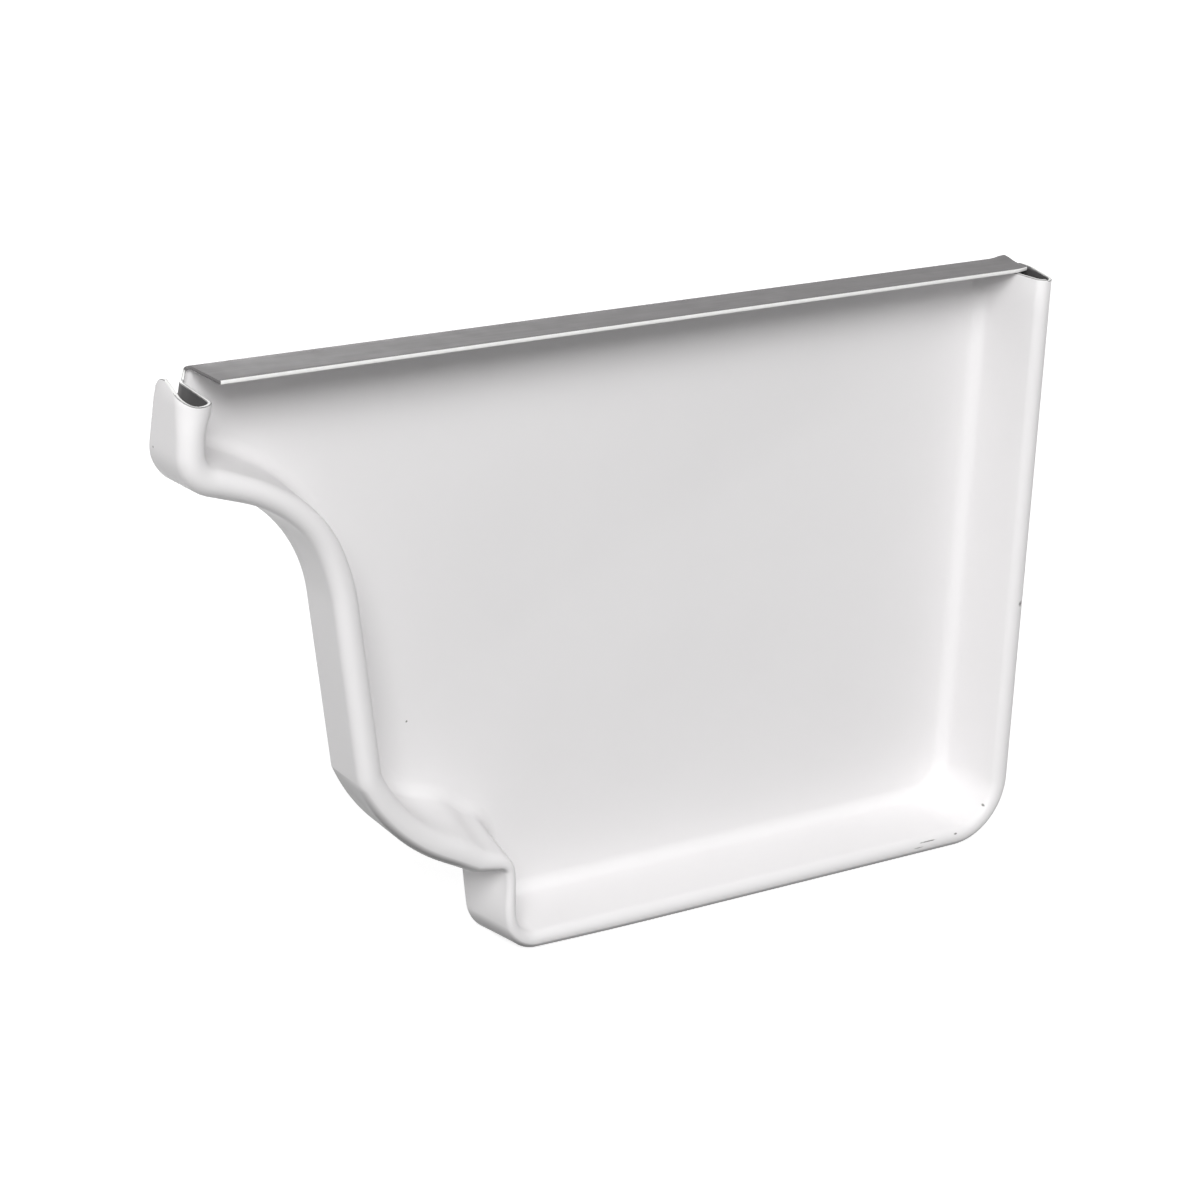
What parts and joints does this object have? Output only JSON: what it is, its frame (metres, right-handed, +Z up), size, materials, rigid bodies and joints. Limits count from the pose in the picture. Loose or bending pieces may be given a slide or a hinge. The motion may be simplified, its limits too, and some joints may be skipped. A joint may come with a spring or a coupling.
{
  "type": "gutter end cap",
  "caption": "Right-hand end cap for a K-style rain gutter: a white folded-sheet pan with an ogee front, a channel round its rim and a folded top flange.",
  "frame": {"origin": "middle of the width, on the underside of the bottom flange, at the rear mouth of the channel", "axes": "+X towards the wall of the house, +Y into the gutter, +Z up"},
  "size_m": [0.1372, 0.0115, 0.0851],
  "materials": {
    "enamel": "satin"
  },
  "bodies": {
    "root": {"end_cap": "enamel"}
  },
  "joints": []
}
